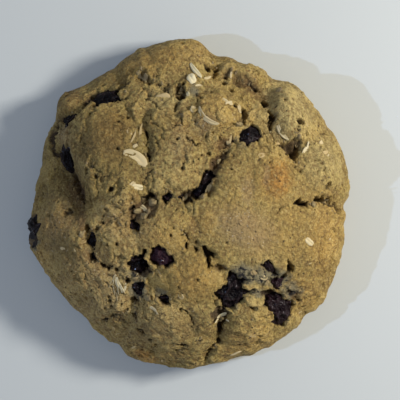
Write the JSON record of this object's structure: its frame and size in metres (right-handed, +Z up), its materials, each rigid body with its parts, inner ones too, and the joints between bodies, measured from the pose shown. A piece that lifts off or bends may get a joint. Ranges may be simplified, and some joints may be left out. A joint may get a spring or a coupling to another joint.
{
  "type": "oatmeal raisin cookie",
  "caption": "Thick round drop cookie with a domed, cracked and lumpy top, raisins baked into it and a flat underside to rest on.",
  "frame": {"origin": "middle of the flat underside, on the surface that the cookie rests on", "axes": "+Z up out of the domed top; seen from above, +X towards the large smooth dome and +Y a quarter turn anticlockwise from it"},
  "size_m": [0.0808, 0.082, 0.0237],
  "materials": {
    "baked_dough": "matt golden-brown baked crust with paler oat flakes",
    "raisin_skin": "wrinkled, nearly black with a little gloss",
    "oat_flake": "pale, dry and slightly translucent"
  },
  "bodies": {
    "root": {"cookie": "baked_dough", "raisin_01": "raisin_skin", "raisin_02": "raisin_skin", "raisin_03": "raisin_skin", "raisin_04": "raisin_skin", "raisin_05": "raisin_skin", "raisin_06": "raisin_skin", "raisin_07": "raisin_skin", "raisin_08": "raisin_skin", "raisin_09": "raisin_skin", "raisin_10": "raisin_skin", "raisin_11": "raisin_skin", "raisin_12": "raisin_skin", "raisin_13": "raisin_skin", "raisin_14": "raisin_skin", "raisin_15": "raisin_skin", "raisin_16": "raisin_skin", "raisin_17": "raisin_skin"}
  },
  "joints": []
}
